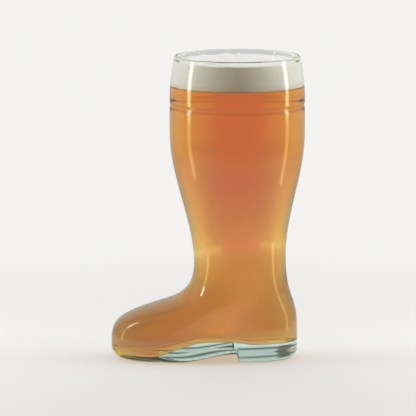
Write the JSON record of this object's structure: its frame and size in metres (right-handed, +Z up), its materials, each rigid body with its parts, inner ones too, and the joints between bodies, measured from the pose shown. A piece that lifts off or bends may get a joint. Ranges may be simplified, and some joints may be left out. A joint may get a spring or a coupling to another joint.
{
  "type": "beer boot glass",
  "caption": "Tall clear drinking glass in the shape of a boot with a flared shaft, cuff groove, arch and heel, filled with amber beer under a head of foam.",
  "frame": {"origin": "on the table under the middle of the boot's length, in its plane of symmetry (the shaft's axis is 17.8 mm further towards +X)", "axes": "+Z up along the shaft, -X towards the toe, +X towards the heel, +Y towards the boot's right side"},
  "size_m": [0.118, 0.0824, 0.185],
  "materials": {
    "glass": "clear pressed soda-lime glass with a faint green tint, fire-polished",
    "beer": "clear amber liquid",
    "foam": "fine wet cream foam"
  },
  "bodies": {
    "root": {"glass_boot": "glass", "beer": "beer", "foam_head": "foam"}
  },
  "joints": []
}
